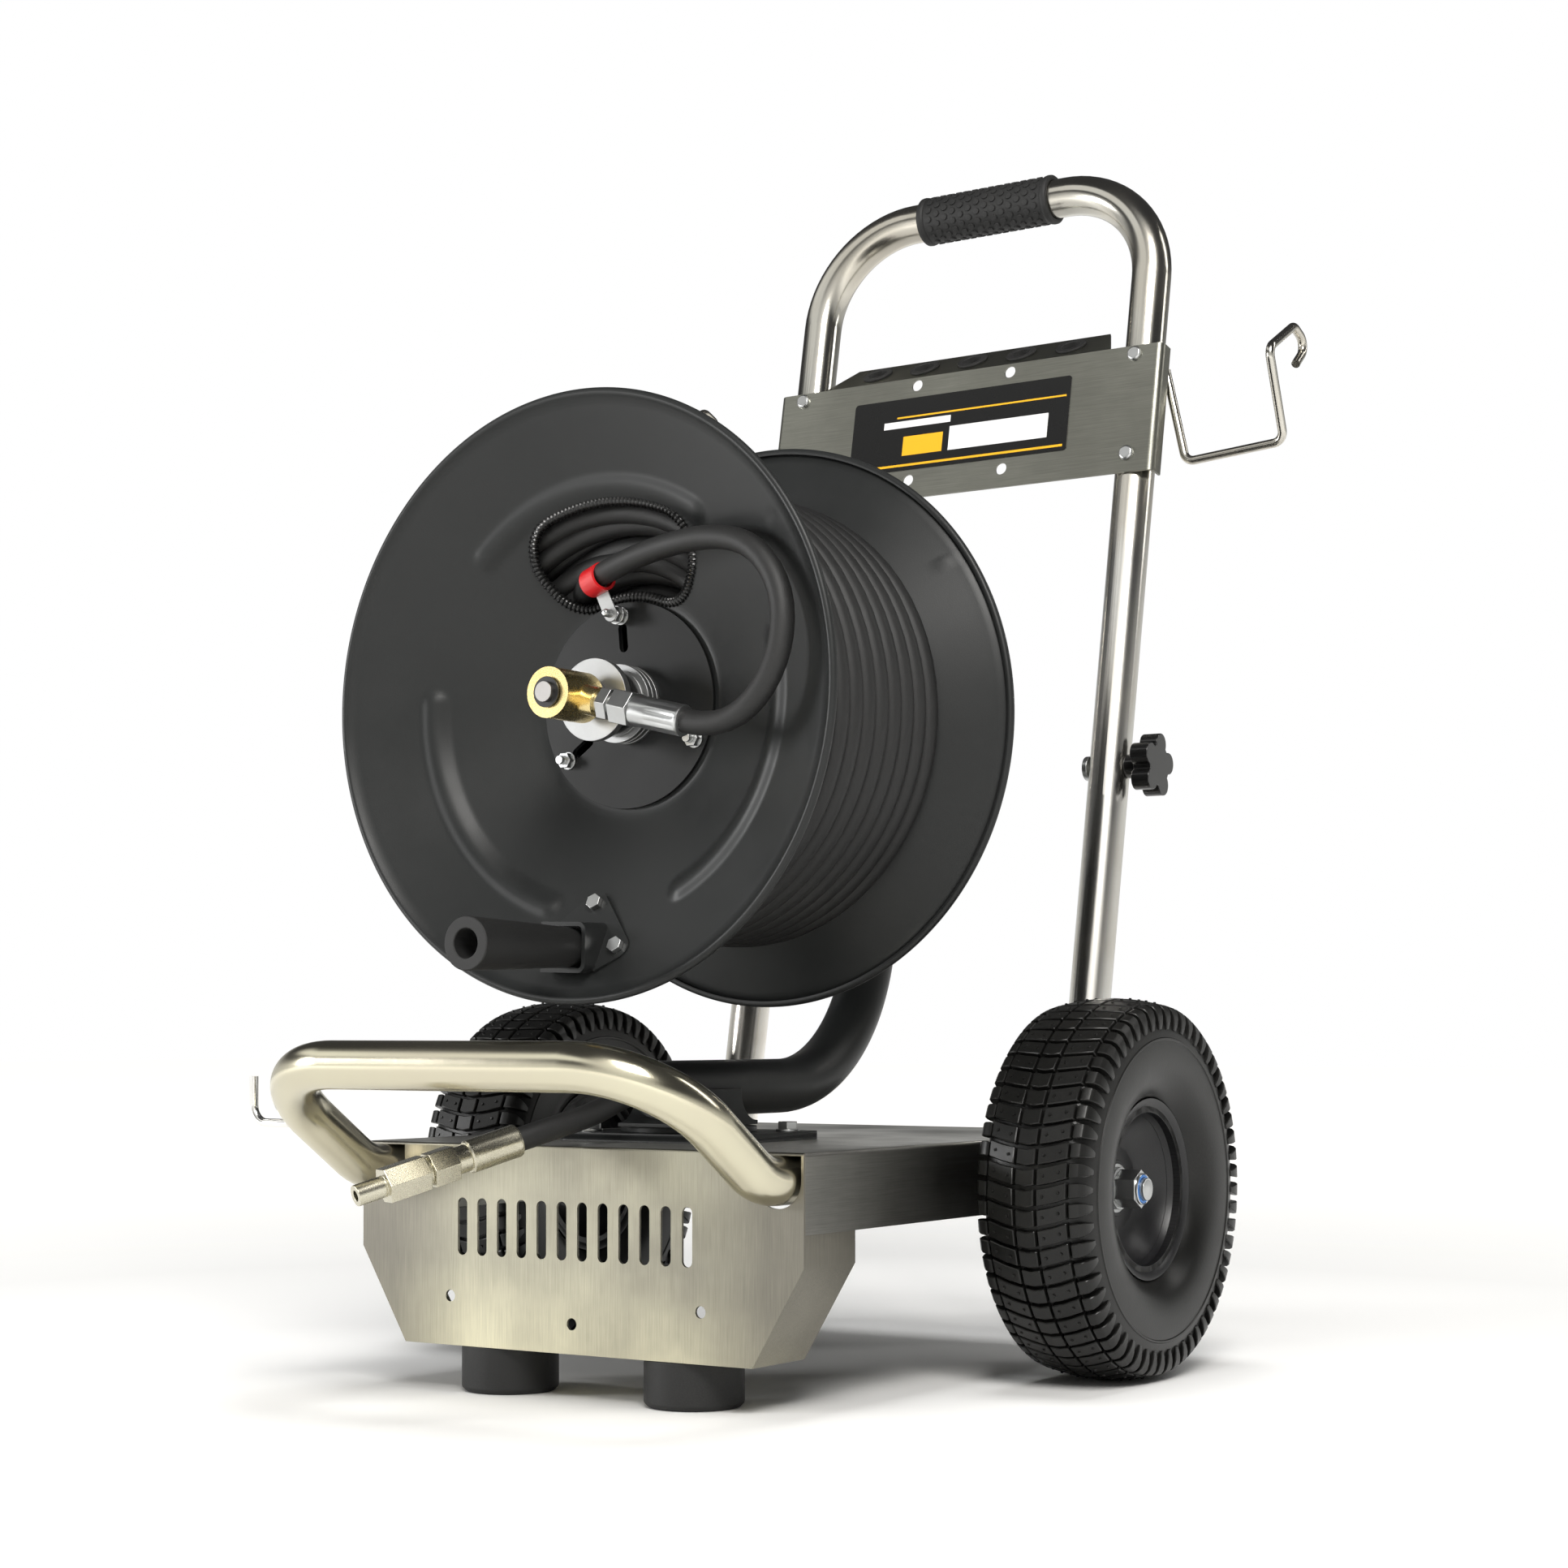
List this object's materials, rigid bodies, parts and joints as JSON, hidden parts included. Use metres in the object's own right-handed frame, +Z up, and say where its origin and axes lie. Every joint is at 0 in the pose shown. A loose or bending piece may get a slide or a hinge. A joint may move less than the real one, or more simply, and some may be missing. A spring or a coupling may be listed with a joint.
{
  "type": "garden hose reel cart",
  "caption": "Two-wheeled steel hose reel cart with a cranked dished reel of wound hose, tube bumper, leaning handle, tool panel and hose hooks.",
  "frame": {"origin": "centre of the footprint of the cart without its hoses, on the floor", "axes": "+X to the right when facing the crank, +Y back towards the handle, +Z up"},
  "size_m": [0.573, 0.7508, 0.9583],
  "materials": {
    "sheet_steel": "brushed",
    "polished_tube": "polished",
    "black_rubber": "matt",
    "zinc": "zinc plated",
    "label": "satin",
    "black_paint": "matt powder coat",
    "rim_paint": "satin powder coat",
    "hose": "cloth-wrapped matt",
    "tyre": "matt",
    "black_plastic": "gloss",
    "brass": "satin",
    "red_vinyl": "semi-gloss"
  },
  "bodies": {
    "chassis": {"deck": "sheet_steel", "front_box": "sheet_steel", "bumper_tube": "polished_tube", "side_hook": "polished_tube", "feet": "black_rubber", "frame_bolts": "zinc", "frame_nuts": "zinc", "axle": "zinc", "axle_spacers": "zinc", "axle_nuts": "zinc", "lower_uprights": "polished_tube", "spigots": "polished_tube", "handle_tube": "polished_tube", "handle_grip": "black_rubber", "carriage_bolts": "zinc", "rear_panel": "sheet_steel", "grommets": "black_rubber", "label_plate": "label", "panel_screws": "zinc", "hose_hooks": "polished_tube", "base_plates": "black_paint", "arm_saddle": "black_paint", "support_arm": "black_paint", "arm_bush": "black_rubber", "reel_shaft": "zinc", "shaft_circlip": "zinc", "leader_hose": "hose", "leader_ferrule": "zinc", "leader_nut": "zinc", "quick_plug": "zinc"},
    "wheel_left": {"tyre_left": "tyre", "rim_left": "rim_paint", "wheel_bearings_left": "zinc"},
    "wheel_right": {"tyre_right": "tyre", "rim_right": "rim_paint", "wheel_bearings_right": "zinc"},
    "reel": {"flange_front": "black_paint", "flange_rear": "black_paint", "edge_trim": "black_rubber", "drum": "black_paint", "reel_bearings": "zinc", "hub_plates": "black_paint", "hub_fasteners": "zinc", "zinc_discs": "zinc", "swivel_spacers": "black_plastic", "swivel_body": "brass", "port_nipple": "zinc", "port_nut": "zinc", "jumper_ferrule": "zinc", "jumper_hose": "hose", "wound_hose": "hose", "hose_clip": "red_vinyl", "crank_bracket": "black_paint", "crank_pin": "zinc", "crank_bolts": "zinc", "hose_end": "zinc"},
    "grip": {"crank_grip": "black_rubber"},
    "knob_left": {"knob_left": "black_plastic"},
    "knob_right": {"knob_right": "black_plastic"}
  },
  "joints": [
    {"name": "wheel_left_spin", "type": "hinge", "parent": "chassis", "child": "wheel_left", "pos_m": [-0.2444, 0.0847, 0.135], "axis": [1, 0, 0], "continuous": true},
    {"name": "wheel_right_spin", "type": "hinge", "parent": "chassis", "child": "wheel_right", "pos_m": [0.2444, 0.0847, 0.135], "axis": [1, 0, 0], "continuous": true},
    {"name": "reel_spin", "type": "hinge", "parent": "chassis", "child": "reel", "pos_m": [0, -0.1073, 0.47], "axis": [0, 1, 0], "continuous": true},
    {"name": "crank_grip_spin", "type": "hinge", "parent": "reel", "child": "grip", "pos_m": [-0.00409, -0.2273, 0.30255], "axis": [0, 1, 0], "continuous": true},
    {"name": "knob_left_turn", "type": "hinge", "parent": "chassis", "child": "knob_left", "pos_m": [-0.187, 0.25864, 0.45265], "axis": [1, 0, 0], "continuous": true},
    {"name": "knob_right_turn", "type": "hinge", "parent": "chassis", "child": "knob_right", "pos_m": [0.187, 0.25864, 0.45265], "axis": [1, 0, 0], "continuous": true}
  ]
}
